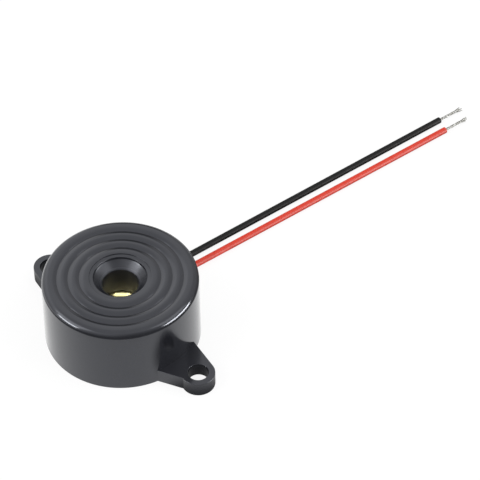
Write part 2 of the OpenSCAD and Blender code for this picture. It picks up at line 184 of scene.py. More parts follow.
def addLead(name, route, sizes):
    lead = smoothCurve(name, route, sizes["radius"], (sizes["sides"] - 4) // 2)
    activate(lead)
    bpy.ops.object.convert(target="MESH")
    lead = bpy.context.object
    end = Vector(route[-1])
    onward = (end - Vector(route[-2])).normalized()

    def atEnd(face):
        return (face.center - end).length < sizes["radius"] / 2 and face.normal.dot(onward) > 0.9

    # The strands leave through a bore in the cut end.
    bpy.ops.object.mode_set(mode="EDIT")
    bpy.ops.mesh.select_all(action="SELECT")
    bpy.ops.mesh.remove_doubles(threshold=sizes["mergeWithin"])
    bpy.ops.mesh.normals_make_consistent(inside=False)
    selectWhere(lead, "polygons", atEnd)
    bpy.ops.mesh.inset(thickness=sizes["rimWidth"], depth=0)
    bpy.ops.mesh.inset(thickness=sizes["radius"] - sizes["boreRadius"] - sizes["rimWidth"], depth=0)
    bpy.ops.mesh.extrude_region_move(TRANSFORM_OT_translate={"value": -sizes["boreDepth"] * onward})
    bpy.ops.object.mode_set(mode="OBJECT")
    activate(lead)
    bpy.ops.object.shade_smooth_by_angle(angle=math.radians(40))
    return lead


blackLead = addLead("black_lead_sheath", blackRoute, leadSizes)
redLead = addLead("red_lead_sheath", redRoute, leadSizes)
print("leads made")


# Stranded cores: six strands laid round a seventh, bared inside the potting and at the far end.
strandSizes = {
    "radius": 0.000088,
    "pitchRadius": 0.000176,
    "count": 6,
    "layLength": 0.009,        # one full twist
    "farLength": 0.0058,
    "innerLength": 0.00195,
    "hidden": 0.0006,          # how far the strands run back into the insulation
    "flareFrom": 0.55,         # share of the bare length after which the strands spread
    "flare": 0.00034,
    "leastFlare": 0.35,        # share of the flare that every strand has
    "middleFlare": 0.3,        # share of it for the middle strand
    "wander": 0.5,             # most that a strand turns from its place, in radians
    "raggedness": 0.0005,
    "points": 18,
}


def addStrands(name, route, sizes, seed):
    chance = random.Random(seed)
    bundle = bpy.data.curves.new(name, "CURVE")
    bundle.dimensions = "3D"
    bundle.resolution_u = 2
    bundle.bevel_depth = sizes["radius"]
    bundle.bevel_resolution = 2
    bundle.use_fill_caps = True
    ends = [
        (Vector(route[-1]), Vector(route[-1]) - Vector(route[-2]), sizes["farLength"], sizes["flare"]),
        (Vector(route[0]), Vector(route[0]) - Vector(route[1]), sizes["innerLength"], 0.0),
    ]
    for start, run, bareLength, flare in ends:
        along = run.normalized()
        across = along.cross(Vector((0, 0, 1))).normalized()
        upward = across.cross(along)
        for strand in range(sizes["count"] + 1):
            outer = strand > 0
            startTurn = 2 * math.pi * strand / sizes["count"]
            length = bareLength - chance.random() * sizes["raggedness"] * (1 if flare else 0)
            ownShare = 1 if outer else sizes["middleFlare"]
            spread = flare * chance.uniform(sizes["leastFlare"], 1.0) * ownShare
            spreadTurn = startTurn + 2 * math.pi * length / sizes["layLength"]
            spreadTurn += chance.uniform(-sizes["wander"], sizes["wander"])
            spline = bundle.splines.new("BEZIER")
            spline.bezier_points.add(sizes["points"] - 1)
            for number, knot in enumerate(spline.bezier_points):
                distance = -sizes["hidden"] + (length + sizes["hidden"]) * number / (sizes["points"] - 1)
                turn = startTurn + 2 * math.pi * distance / sizes["layLength"]
                reach = sizes["pitchRadius"] if outer else 0.0
                share = max(0.0, distance / length - sizes["flareFrom"]) / (1 - sizes["flareFrom"])
                knot.co = (
                    start
                    + distance * along
                    + reach * (math.cos(turn) * across + math.sin(turn) * upward)
                    + spread * share ** 2 * (math.cos(spreadTurn) * across + math.sin(spreadTurn) * upward)
                )
                knot.handle_left_type = knot.handle_right_type = "AUTO"
    piece = bpy.data.objects.new(name, bundle)
    bpy.context.scene.collection.objects.link(piece)
    activate(piece)
    bpy.ops.object.convert(target="MESH")
    piece = bpy.context.object
    bpy.ops.object.mode_set(mode="EDIT")
    bpy.ops.mesh.select_all(action="SELECT")
    bpy.ops.mesh.remove_doubles(threshold=mergeWithin)
    bpy.ops.mesh.normals_make_consistent(inside=False)
    bpy.ops.object.mode_set(mode="OBJECT")
    bpy.ops.object.shade_smooth_by_angle(angle=math.radians(50))
    return piece


blackStrands = addStrands("black_lead_strands", blackRoute, strandSizes, 3)
redStrands = addStrands("red_lead_strands", redRoute, strandSizes, 8)


def centreline(route, name):
    line = smoothCurve(name, route, 0.0)
    line.data.use_fill_caps = False
    activate(line)
    bpy.ops.object.convert(target="MESH")
    line = bpy.context.object
    places = [tuple(vertex.co) for vertex in line.data.vertices]
    bpy.data.objects.remove(line, do_unlink=True)
    return places


centreline(blackRoute, "black_line")
centreline(redRoute, "red_line")


# Housing. The cup is one outline spun round Z, in metres, with its corners softened as a mould leaves them.
cup = {
    "baseRadius": 0.015,
    "topRadius": 0.01485,
    "height": 0.0148,
    "frontEdge": 0.0013,
    "edgeSteps": 18,
    "ringRadii": (0.01197, 0.00987, 0.00773),
    "ringDepth": 0.00028,
    "ringGentle": 0.0009,      # width of a groove's gentle side, nearer to the middle
    "ringSteep": 0.00085,
    "ringStart": 4,            # slope, in degrees, where a groove's sides leave the face
    "ringSteps": 8,
    "ringFloor": 0.00008,
    "stepRadius": 0.00585,
    "stepDepth": 0.0002,
    "bowlRadius": 0.00512,
    "bowlBend": 3,
    "bowlSteps": 8,
    "lipHeight": 0.00042,
    "lipLean": 0.00012,
    "lipFillet": 0.00016,
    "throatDepth": 0.00203,
    "bowlRim": 0.0001,
    "throatRadius": 0.0035,
    "throatEdge": 0.0003,
    "tubeWall": 0.0013,
    "tubeEnd": 0.007,
    "frontWall": 0.0016,
    "chamberRadius": 0.0126,
    "discSeat": 0.0065,
    "discPocket": 0.0136,
    "boardTop": 0.0025,
    "boardPocket": 0.014,
    "softCorner": 0.00008,
    "innerCorner": 0.00015,
    "segments": 240,
}


def arcPoints(centre, radius, fromAngle, toAngle, steps):
    angles = [math.radians(fromAngle + (toAngle - fromAngle) * step / steps) for step in range(steps + 1)]
    return [(centre[0] + radius * math.cos(angle), centre[1] + radius * math.sin(angle)) for angle in angles]


def softened(corners, steps=3, mostOfSide=0.45):
    outline = []
    for number, (radial, height, rounding) in enumerate(corners):
        corner = Vector((radial, height))
        before = Vector(corners[number - 1][:2]) - corner
        after = Vector(corners[(number + 1) % len(corners)][:2]) - corner
        if not rounding:
            outline.append(corner)
            continue
        opening = before.angle(after)
        longest = mostOfSide * min(before.length, after.length)
        reach = min(rounding / math.tan(opening / 2), longest)
        start, end = corner + reach * before.normalized(), corner + reach * after.normalized()
        for step in range(steps + 1):
            share = step / steps
            outline.append((1 - share) ** 2 * start + 2 * share * (1 - share) * corner + share ** 2 * end)
    return outline


def grooveSide(sizes, width):
    # Places from the face to the bottom of a groove, as distance from the bottom and height below the face.
    depth = sizes["ringDepth"]
    chord = math.hypot(width, depth)
    lean = math.degrees(math.atan2(depth, width))
    radius = chord / 2 / math.sin(math.radians(lean - sizes["ringStart"]))
    start = 90 - sizes["ringStart"]
    end = start - 2 * (lean - sizes["ringStart"])
    side = arcPoints((0, 0), radius, start, end, sizes["ringSteps"])
    return [(width - (x - side[0][0]), y - side[0][1]) for x, y in side]


def cupCorners(sizes):
    soft, inner = sizes["softCorner"], sizes["innerCorner"]
    top, edge = sizes["height"], sizes["frontEdge"]
    corners = [(sizes["baseRadius"], 0, soft)]
    edgePlaces = arcPoints((sizes["topRadius"] - edge, top - edge), edge, 0, 90, sizes["edgeSteps"])
    corners += [(*place, 0) for place in edgePlaces]
    steep, gentle = grooveSide(sizes, sizes["ringSteep"]), grooveSide(sizes, sizes["ringGentle"])
    for radius in sizes["ringRadii"]:
        corners += [(radius + away, top + drop, 0) for away, drop in steep[:-1]]
        corners.append((radius, top - sizes["ringDepth"], sizes["ringFloor"]))
        corners += [(radius - away, top + drop, 0) for away, drop in reversed(gentle[:-1])]
    stepFloor = top - sizes["stepDepth"]
    throatTop = top - sizes["throatDepth"]
    corners += [(sizes["stepRadius"], top, soft), (sizes["stepRadius"], stepFloor, soft / 2)]

    # Bowl: a short steep lip, and below it a hollow that steepens outwards.
    lipFoot = (sizes["bowlRadius"] - sizes["lipLean"], stepFloor - sizes["lipHeight"])
    across, up = lipFoot[0] - sizes["throatRadius"], lipFoot[1] - throatTop
    slope = math.degrees(math.atan2(up, across))
    lowest = math.radians(slope - sizes["bowlBend"])
    bowlArc = math.hypot(across, up) / 2 / math.sin(math.radians(sizes["bowlBend"]))
    centre = (
        sizes["throatRadius"] - bowlArc * math.sin(lowest),
        throatTop + bowlArc * math.cos(lowest),
    )
    bend = sizes["bowlBend"]
    bowlPlaces = arcPoints(centre, bowlArc, slope - 90 + bend, slope - 90 - bend, sizes["bowlSteps"])
    corners.append((sizes["bowlRadius"], stepFloor, sizes["bowlRim"]))
    corners.append((*bowlPlaces[0], sizes["lipFillet"]))
    corners += [(*place, 0) for place in bowlPlaces[1:-1]]
    corners.append((*bowlPlaces[-1], sizes["throatEdge"]))
    tubeRadius = sizes["throatRadius"] + sizes["tubeWall"]
    chamberTop = top - sizes["frontWall"]
    corners += [
        (sizes["throatRadius"], sizes["tubeEnd"], soft),
        (tubeRadius, sizes["tubeEnd"], soft),
        (tubeRadius, throatTop - sizes["frontWall"], inner),
        (sizes["bowlRadius"] + sizes["frontWall"], chamberTop, inner),
        (sizes["chamberRadius"], chamberTop, inner),
        (sizes["chamberRadius"], sizes["discSeat"], soft),
        (sizes["discPocket"], sizes["discSeat"], soft),
        (sizes["discPocket"], sizes["boardTop"], soft),
        (sizes["boardPocket"], sizes["boardTop"], soft),
        (sizes["boardPocket"], 0, soft),
    ]
    return corners


def spinOutline(name, outline, segments):
    places = [Vector((place[0], 0, place[1])) for place in outline]
    deselectAll()
    bpy.ops.mesh.primitive_plane_add(size=0.001)
    piece = bpy.context.object
    piece.name = name
    bpy.ops.object.mode_set(mode="EDIT")
    bpy.ops.mesh.merge(type="CENTER")
    bpy.ops.transform.translate(value=places[0])
    for before, after in zip(places, places[1:] + places[:1]):
        bpy.ops.mesh.extrude_region_move(TRANSFORM_OT_translate={"value": after - before})
    bpy.ops.mesh.select_all(action="SELECT")
    bpy.ops.mesh.remove_doubles(threshold=mergeWithin)
    bpy.ops.mesh.spin(steps=segments, angle=2 * math.pi, center=(0, 0, 0), axis=(0, 0, 1))
    bpy.ops.mesh.select_all(action="SELECT")
    bpy.ops.mesh.remove_doubles(threshold=mergeWithin)
    bpy.ops.mesh.normals_make_consistent(inside=False)
    bpy.ops.object.mode_set(mode="OBJECT")
    return piece


ear = {
    "holeReach": 0.02,         # from the axis to each screw hole
    "holeRadius": 0.00195,
    "tipRadius": 0.0032,
    "tipMargin": 0.0001,       # corners this near to the tip's circle lie on it
    "thickness": 0.003,
    "rootHalfWidth": 0.00495,
    "rootInset": 0.01408,      # the ear starts inside the wall
    "stepAngle": 248,
    "tipSegments": 96,
    "edgeRounding": 0.0004,
    "edgeSegments": 3,
    "edgeAngle": 35,           # edges sharper than this, in degrees, are rounded
}


def addEars(sizes, wallRadius):
    rootReach = math.sqrt(wallRadius ** 2 - sizes["rootHalfWidth"] ** 2)
    tip = Vector((sizes["holeReach"], 0))
    rootCorner = Vector((rootReach, sizes["rootHalfWidth"]))
    away = tip - rootCorner
    lean = math.atan2(away.y, away.x) + math.asin(sizes["tipRadius"] / away.length)
    touchAngle = math.degrees(lean) + 90

    deselectAll()
    bpy.ops.mesh.primitive_circle_add(
        vertices=sizes["tipSegments"], radius=sizes["tipRadius"], location=(*tip, 0)
    )
    ears = bpy.context.object
    bpy.ops.object.transform_apply(location=True, rotation=True, scale=True)

    def bearing(vertex):
        return math.degrees(math.atan2(vertex.co.y - tip.y, vertex.co.x - tip.x)) % 360

    selectWhere(ears, "vertices", lambda vertex: touchAngle < bearing(vertex) < sizes["stepAngle"])
    bpy.ops.mesh.delete(type="VERT")

    # From each end of the round tip the outline runs back to the wall, and then a little way into it.
    rim = sizes["tipRadius"] + sizes["tipMargin"]
    for ending, side in ((touchAngle, 1), (sizes["stepAngle"], -1)):
        bpy.ops.object.mode_set(mode="OBJECT")
        onTip = [vertex for vertex in ears.data.vertices if (vertex.co.xy - tip).length < rim]
        nearest = min(onTip, key=lambda vertex: abs((bearing(vertex) - ending + 180) % 360 - 180)).index
        selectWhere(ears, "vertices", lambda vertex: vertex.index == nearest)
        here = ears.data.vertices[nearest].co.copy()
        for inward in (rootReach, sizes["rootInset"]):
            place = Vector((inward, side * sizes["rootHalfWidth"], 0))
            bpy.ops.mesh.extrude_region_move(TRANSFORM_OT_translate={"value": place - here})
            here = place
    bpy.ops.mesh.select_all(action="SELECT")
    bpy.ops.mesh.edge_face_add()
    bpy.ops.mesh.normals_make_consistent(inside=False)
    bpy.ops.mesh.extrude_region_move(TRANSFORM_OT_translate={"value": (0, 0, sizes["thickness"])})
    bpy.ops.mesh.select_all(action="SELECT")
    bpy.ops.mesh.normals_make_consistent(inside=False)
    bpy.ops.object.mode_set(mode="OBJECT")

    bpy.ops.mesh.primitive_cylinder_add(
        vertices=sizes["tipSegments"], radius=sizes["holeRadius"], depth=3 * sizes["thickness"],
        location=(*tip, sizes["thickness"] / 2),
    )
    drill = bpy.context.object
    cutOrJoin(ears, drill, "DIFFERENCE")
    rounding = ears.modifiers.new("rounding", "BEVEL")
    rounding.width = sizes["edgeRounding"]
    rounding.segments = sizes["edgeSegments"]
    rounding.limit_method = "ANGLE"
    rounding.angle_limit = math.radians(sizes["edgeAngle"])
    applyModifiers(ears)

    # The second ear is the first one turned half way round the axis.
    bpy.ops.object.mode_set(mode="EDIT")
    bpy.ops.mesh.select_all(action="SELECT")
    bpy.ops.mesh.duplicate()
    bpy.ops.transform.rotate(value=math.pi, orient_axis="Z", center_override=(0, 0, 0))
    bpy.ops.object.mode_set(mode="OBJECT")
    return ears


leadNotch = {
    "margin": 0.0005,
    "halfReach": 0.004,
    "top": 0.0017,
    "below": 0.001,
}


def addNotchCutter(sizes):
    wallPoints = [Vector(place) for place in (blackRoute[2], blackRoute[3], redRoute[2], redRoute[3])]
    middle = sum(wallPoints, Vector()) / len(wallPoints)
    run = Vector(blackRoute[3]) - Vector(blackRoute[1])
    skew = math.atan2(run.x, run.y)
    pitch = (redRoute[2][0] - blackRoute[2][0]) * math.cos(skew)
    width = pitch + 2 * (leadSizes["radius"] + sizes["margin"])
    height = sizes["top"] + sizes["below"]
    deselectAll()
    bpy.ops.mesh.primitive_cube_add(
        size=1, location=(middle.x, middle.y, sizes["top"] - height / 2), rotation=(0, 0, -skew),
        scale=(width, 2 * sizes["halfReach"], height),
    )
    cutter = bpy.context.object
    bpy.ops.object.transform_apply(location=True, rotation=True, scale=True)
    return cutter


def addHousing():
    shell = spinOutline("moulded_housing", softened(cupCorners(cup)), cup["segments"])
    ears = addEars(ear, cup["baseRadius"])
    cutOrJoin(shell, ears, "UNION")
    cutOrJoin(shell, addNotchCutter(leadNotch), "DIFFERENCE")
    softShade(shell)
    return shell


housing = addHousing()
print("housing made,", len(housing.data.polygons), "faces")


# Small helpers for shader nodes
def addNode(tree, kind, values=None, **settings):
    node = tree.nodes.new(kind)
    for name, setting in settings.items():
        setattr(node, name, setting)
    for label, value in (values or {}).items():
        node.inputs[label].default_value = value
    return node


def ranged(tree, value, start, end, low, high, curve="LINEAR"):
    scale = addNode(
        tree, "ShaderNodeMapRange", {"From Min": start, "From Max": end, "To Min": low, "To Max": high},
        interpolation_type=curve,
    )
    tree.links.new(value, scale.inputs["Value"])
    return scale.outputs["Result"]


def eitherOf(tree, first, second):
    most = addNode(tree, "ShaderNodeMath", operation="MAXIMUM")
    tree.links.new(first, most.inputs[0])
    tree.links.new(second, most.inputs[1])
    return most.outputs["Value"]


def objectPlace(tree, axis=None, turn=0.0, scale=(1, 1, 1)):
    # Object coordinates, turned and stretched, or one axis of them.
    place = addNode(tree, "ShaderNodeTexCoord")
    mapping = addNode(tree, "ShaderNodeMapping", {"Rotation": (0, 0, math.radians(turn)), "Scale": scale})
    tree.links.new(place.outputs["Object"], mapping.inputs["Vector"])
    if axis is None:
        return mapping.outputs["Vector"]
    split = addNode(tree, "ShaderNodeSeparateXYZ")
    tree.links.new(mapping.outputs["Vector"], split.inputs["Vector"])
    return split.outputs[axis]


# Shared effects. Each group is built once and placed in every material that uses it.
def newGroup(name, inputs, outputs):
    group = bpy.data.node_groups.new(name, "ShaderNodeTree")
    for label, kind, value in inputs:
        socket = group.interface.new_socket(name=label, in_out="INPUT", socket_type=kind)
        socket.default_value = value
    for label, kind in outputs:
        group.interface.new_socket(name=label, in_out="OUTPUT", socket_type=kind)
    return group, group.nodes.new("NodeGroupInput"), group.nodes.new("NodeGroupOutput")


def buildMouldSkin():
    # Slow drift of colour and gloss, and a fine grain for the bump.
    group, given, result = newGroup(
        "mouldSkin",
        [
            ("Color", "NodeSocketColor", (0.5, 0.5, 0.5, 1)),
            ("Second Color", "NodeSocketColor", (0.4, 0.4, 0.4, 1)),
            ("Drift Scale", "NodeSocketFloat", 300.0),
            ("Grain Scale", "NodeSocketFloat", 5000.0),
            ("Roughness", "NodeSocketFloat", 0.4),
            ("Roughness Range", "NodeSocketFloat", 0.1),
        ],
        [("Color", "NodeSocketColor"), ("Roughness", "NodeSocketFloat"), ("Height", "NodeSocketFloat")],
    )
    link = group.links.new
    place = addNode(group, "ShaderNodeTexCoord")
    drift = addNode(group, "ShaderNodeTexNoise", {"Detail": 3})
    grain = addNode(group, "ShaderNodeTexNoise", {"Detail": 2})
    blend = addNode(group, "ShaderNodeMix", data_type="RGBA")
    half = addNode(group, "ShaderNodeMath", {1: 0.5}, operation="SUBTRACT")
    offset = addNode(group, "ShaderNodeMath", operation="MULTIPLY_ADD")
    link(place.outputs["Object"], drift.inputs["Vector"])
    link(place.outputs["Object"], grain.inputs["Vector"])
    link(given.outputs["Drift Scale"], drift.inputs["Scale"])
    link(given.outputs["Grain Scale"], grain.inputs["Scale"])
    spread = ranged(group, drift.outputs["Fac"], 0.3, 0.7, 0, 1)
    link(spread, blend.inputs["Factor"])
    link(given.outputs["Color"], blend.inputs["A"])
    link(given.outputs["Second Color"], blend.inputs["B"])
    link(spread, half.inputs[0])
    link(half.outputs["Value"], offset.inputs[0])
    link(given.outputs["Roughness Range"], offset.inputs[1])
    link(given.outputs["Roughness"], offset.inputs[2])
    link(blend.outputs["Result"], result.inputs["Color"])
    link(offset.outputs["Value"], result.inputs["Roughness"])
    link(grain.outputs["Fac"], result.inputs["Height"])
    return group


def buildBandMask():
    # 1 where one coordinate lies between two values, with a soft edge.
    group, given, result = newGroup(
        "bandMask",
        [
            ("Coordinate", "NodeSocketFloat", 0.0),
            ("Middle", "NodeSocketFloat", 0.0),
            ("Half Width", "NodeSocketFloat", 0.001),
            ("Softness", "NodeSocketFloat", 0.00003),
        ],
        [("Mask", "NodeSocketFloat")],
    )
    link = group.links.new
    away = addNode(group, "ShaderNodeMath", operation="SUBTRACT")
    size = addNode(group, "ShaderNodeMath", operation="ABSOLUTE")
    outer = addNode(group, "ShaderNodeMath", operation="ADD")
    fade = addNode(group, "ShaderNodeMapRange", {"To Min": 1, "To Max": 0}, interpolation_type="SMOOTHSTEP")
    link(given.outputs["Coordinate"], away.inputs[0])
    link(given.outputs["Middle"], away.inputs[1])
    link(away.outputs["Value"], size.inputs[0])
    link(given.outputs["Half Width"], outer.inputs[0])
    link(given.outputs["Softness"], outer.inputs[1])
    link(size.outputs["Value"], fade.inputs["Value"])
    link(given.outputs["Half Width"], fade.inputs["From Min"])
    link(outer.outputs["Value"], fade.inputs["From Max"])
    link(fade.outputs["Result"], result.inputs["Mask"])
    return group


mouldSkin = buildMouldSkin()
bandMask = buildBandMask()

# Finishes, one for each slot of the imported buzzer. The colour drifts between color and second, the roughness
# over span, and bump is the depth of the relief in metres. Larger numbers for drift and grain give a finer
# pattern. A band runs across one axis, 0 for X, 1 for Y and 2 for Z.
leadTurn = 11.3                # degrees from Y to the way that the leads run
chipEnds = {"axis": 0, "halfWidth": 0.00066, "color": (0.62, 0.62, 0.6), "metalOutside": True}    # tinned
sheath = {"span": 0.08, "drift": 700, "grain": 7000, "bump": 0.0000003}
sheathLines = {"scale": (5000, 260, 5000), "detail": 3, "turn": leadTurn}
chip = {"roughness": 0.45, "span": 0.1, "drift": 1500, "grain": 12000, "bump": 0.000002}
finishLooks = {
    "black_abs": {
        "color": (0.0155, 0.016, 0.02), "second": (0.018, 0.0186, 0.023), "roughness": 0.14, "span": 0.05,
        "drift": 260, "grain": 9000, "bump": 0.0000006,
        "tint": (0.885, 0.915, 1),       # colour of the highlights
        "coarse": {                      # from the sound tube to the bowl's rim, in metres from the axis
            "middle": 0.0042, "halfWidth": 0.0009, "softness": 0.0001,
            "tubeRadius": 0.0036, "bowlRadius": 0.0039, "tubeRoughness": 0.5, "bowlRoughness": 0.27,
        },
    },
    "brass": {
        "color": (0.6, 0.54, 0.27), "second": (0.54, 0.47, 0.22), "roughness": 0.6, "span": 0.12,
        "drift": 220, "grain": 3000, "bump": 0.000001, "metallic": 0.7,
        "lines": {"scale": (150, 9000, 150), "detail": 3},
    },
    "piezo_ceramic": {
        "color": (0.72, 0.66, 0.52), "second": (0.66, 0.6, 0.46), "roughness": 0.6, "span": 0.1,
        "drift": 500, "grain": 9000, "bump": 0.000002,
    },
    "silver": {
        "color": (0.74, 0.73, 0.7), "second": (0.66, 0.64, 0.6), "roughness": 0.42, "span": 0.12,
        "drift": 240, "grain": 6000, "bump": 0.000002, "metallic": 0.9,
        "ridges": {"scale": 2200, "distortion": 0.6, "axis": "X", "turn": 22},    # weave of the screen
    },
    "silicone": {
        "color": (0.74, 0.74, 0.7), "second": (0.66, 0.66, 0.6), "roughness": 0.35, "span": 0.1,
        "drift": 700, "grain": 1200, "bump": 0.00002, "ior": 1.41,
    },
    "board": {
        "color": (0.5, 0.33, 0.14), "second": (0.38, 0.24, 0.09), "roughness": 0.5, "span": 0.12,
        "drift": 260, "grain": 5000, "bump": 0.000003,
        "lines": {"scale": (500, 6000, 500), "detail": 4, "colorShare": 0.5},     # fibres of the laminate
    },
    "copper": {
        "color": (0.83, 0.44, 0.28), "second": (0.66, 0.32, 0.2), "roughness": 0.38, "span": 0.18,
        "drift": 900, "grain": 7000, "bump": 0.000001, "metallic": 1,
    },
    "black_epoxy": {
        "color": (0.022, 0.022, 0.024), "second": (0.03, 0.03, 0.032), "roughness": 0.5, "span": 0.12,
        "drift": 2500, "grain": 16000, "bump": 0.000004,
    },
    "tinned_copper": {
        "color": (0.26, 0.26, 0.25), "second": (0.17, 0.166, 0.15), "roughness": 0.42, "span": 0.16,
        "drift": 900, "grain": 6000, "bump": 0.0000015, "metallic": 1,
        "lines": {"scale": (16000, 900, 16000), "detail": 2, "turn": leadTurn},
    },
    "chip_body": {
        **chip, "color": (0.72, 0.7, 0.64), "second": (0.612, 0.595, 0.544),
        "bands": [
            {"axis": 2, "middle": 0.0031, "halfWidth": 0.00007, "color": (0.02, 0.02, 0.022)},     # glaze
            {**chipEnds, "middle": -0.0055},
        ],
    },
    "chip_capacitor": {
        **chip, "color": (0.5, 0.36, 0.2), "second": (0.425, 0.306, 0.17),
        "bands": [{**chipEnds, "middle": 0.0075}],
    },
    "diode_glass": {
        "color": (0.72, 0.3, 0.1), "second": (0.62, 0.24, 0.07), "roughness": 0.12, "span": 0.05,
        "drift": 900, "grain": 4000, "bump": 0.000001, "ior": 1.52, "coat": 0.5,
        "bands": [{"axis": 1, "middle": -0.0012, "halfWidth": 0.0002, "color": (0.02, 0.02, 0.02)}],
    },
    "ferrite": {
        "color": (0.045, 0.043, 0.042), "second": (0.07, 0.067, 0.063), "roughness": 0.66, "span": 0.15,
        "drift": 1800, "grain": 14000, "bump": 0.000006,
    },
    "enamelled_copper": {
        "color": (0.62, 0.24, 0.1), "second": (0.5, 0.18, 0.07), "roughness": 0.3, "span": 0.08,
        "drift": 900, "grain": 5000, "bump": 0.00003, "metallic": 0.8, "coat": 0.6,
        "ridges": {"scale": 1250, "distortion": 0.15, "axis": "Z"},    # one for each turn of the wire
    },
    "red_pvc": {
        **sheath, "color": (0.8, 0.052, 0.022), "second": (0.72, 0.042, 0.018), "roughness": 0.5, "ior": 1.4,
        "lines": sheathLines,
    },
    "blue_pvc": {
        **sheath, "color": (0.03, 0.08, 0.42), "second": (0.025, 0.065, 0.36), "roughness": 0.5, "ior": 1.4,
        "lines": sheathLines,
    },
    "black_pvc": {
        **sheath, "color": (0.005, 0.005, 0.005), "second": (0.003, 0.003, 0.003), "roughness": 0.55,
        "ior": 1.25, "lines": sheathLines,
    },
    "solder": {
        "color": (0.7, 0.7, 0.69), "second": (0.58, 0.58, 0.56), "roughness": 0.28, "span": 0.2,
        "drift": 1500, "grain": 3500, "bump": 0.000008, "metallic": 1,
    },
    "potting": {
        "color": (0.012, 0.012, 0.013), "second": (0.02, 0.02, 0.021), "roughness": 0.2, "span": 0.14,
        "drift": 420, "grain": 900, "bump": 0.000012,
        "dust": {"scale": 650, "color": (0.09, 0.09, 0.085), "core": 0.06, "edge": 0.1},
    },
}


def newFinish(slotName, look):
    material = bpy.data.materials.new(slotName + "_finish")
    material.use_nodes = True
    tree = material.node_tree
    shader = tree.nodes["Principled BSDF"]
    shader.inputs["Metallic"].default_value = look.get("metallic", 0)
    shader.inputs["IOR"].default_value = look.get("ior", 1.5)
    shader.inputs["Specular Tint"].default_value = (*look.get("tint", (1, 1, 1)), 1)
    shader.inputs["Coat Weight"].default_value = look.get("coat", 0)
    shader.inputs["Coat Roughness"].default_value = 0.05
    surface = addNode(
        tree, "ShaderNodeGroup",
        {
            "Color": (*look["color"], 1), "Second Color": (*look["second"], 1), "Drift Scale": look["drift"],
            "Grain Scale": look["grain"], "Roughness": look["roughness"], "Roughness Range": look["span"],
        },
        node_tree=mouldSkin,
    )
    relief = addNode(tree, "ShaderNodeBump", {"Strength": 1, "Distance": look["bump"]})
    tree.links.new(surface.outputs["Color"], shader.inputs["Base Color"])
    tree.links.new(surface.outputs["Roughness"], shader.inputs["Roughness"])
    tree.links.new(surface.outputs["Height"], relief.inputs["Height"])
    tree.links.new(relief.outputs["Normal"], shader.inputs["Normal"])
    return material, tree, shader, surface, relief


def addLines(lines, tree, shader, surface, relief):
    # Noise stretched one way, as rolling, drawing and extruding leave it. It can shade the colour too.
    noise = addNode(tree, "ShaderNodeTexNoise", {"Scale": 1, "Detail": lines["detail"]})
    place = objectPlace(tree, turn=lines.get("turn", 0), scale=lines["scale"])
    tree.links.new(place, noise.inputs["Vector"])
    tree.links.new(noise.outputs["Fac"], relief.inputs["Height"])
    if "colorShare" in lines:
        blend = addNode(
            tree, "ShaderNodeMix", {"Factor": lines["colorShare"]}, data_type="RGBA", blend_type="MULTIPLY"
        )
        tree.links.new(surface.outputs["Color"], blend.inputs["A"])
        tree.links.new(noise.outputs["Color"], blend.inputs["B"])
        tree.links.new(blend.outputs["Result"], shader.inputs["Base Color"])


def addRidges(ridges, tree, shader, surface, relief):
    wave = addNode(
        tree, "ShaderNodeTexWave", {"Scale": ridges["scale"], "Distortion": ridges["distortion"]},
        bands_direction=ridges["axis"],
    )
    tree.links.new(objectPlace(tree, turn=ridges.get("turn", 0)), wave.inputs["Vector"])
    tree.links.new(wave.outputs["Fac"], relief.inputs["Height"])


def addBands(bands, tree, shader, surface, relief):
    # Each band lays a colour over what already feeds the base colour. Tinned ends lie outside theirs.
    for band in bands:
        mask = addNode(
            tree, "ShaderNodeGroup", {"Middle": band["middle"], "Half Width": band["halfWidth"]},
            node_tree=bandMask,
        )
        blend = addNode(tree, "ShaderNodeMix", data_type="RGBA")
        over, under = ("A", "B") if band.get("metalOutside") else ("B", "A")
        blend.inputs[over].default_value = (*band["color"], 1)
        tree.links.new(objectPlace(tree, band["axis"]), mask.inputs["Coordinate"])
        tree.links.new(mask.outputs["Mask"], blend.inputs["Factor"])
        tree.links.new(shader.inputs["Base Color"].links[0].from_socket, blend.inputs[under])
        tree.links.new(blend.outputs["Result"], shader.inputs["Base Color"])
        if band.get("metalOutside"):
            metal = addNode(tree, "ShaderNodeMath", {0: 1}, operation="SUBTRACT")
            tree.links.new(mask.outputs["Mask"], metal.inputs[1])
            tree.links.new(metal.outputs["Value"], shader.inputs["Metallic"])


def addCoarseBowl(coarse, tree, shader, surface, relief):
    # The moulding is polished. The bowl has a coarser finish, and the sound tube a coarser one still.
    away = addNode(tree, "ShaderNodeVectorMath", operation="LENGTH")
    mask = addNode(
        tree, "ShaderNodeGroup",
        {"Middle": coarse["middle"], "Half Width": coarse["halfWidth"], "Softness": coarse["softness"]},
        node_tree=bandMask,
    )
    rough = addNode(tree, "ShaderNodeMix")
    tree.links.new(objectPlace(tree, scale=(1, 1, 0)), away.inputs[0])
    tree.links.new(away.outputs["Value"], mask.inputs["Coordinate"])
    tree.links.new(mask.outputs["Mask"], rough.inputs["Factor"])
    tree.links.new(surface.outputs["Roughness"], rough.inputs["A"])
    inside = ranged(
        tree, away.outputs["Value"], coarse["tubeRadius"], coarse["bowlRadius"],
        coarse["tubeRoughness"], coarse["bowlRoughness"],
    )
    tree.links.new(inside, rough.inputs["B"])
    tree.links.new(rough.outputs["Result"], shader.inputs["Roughness"])


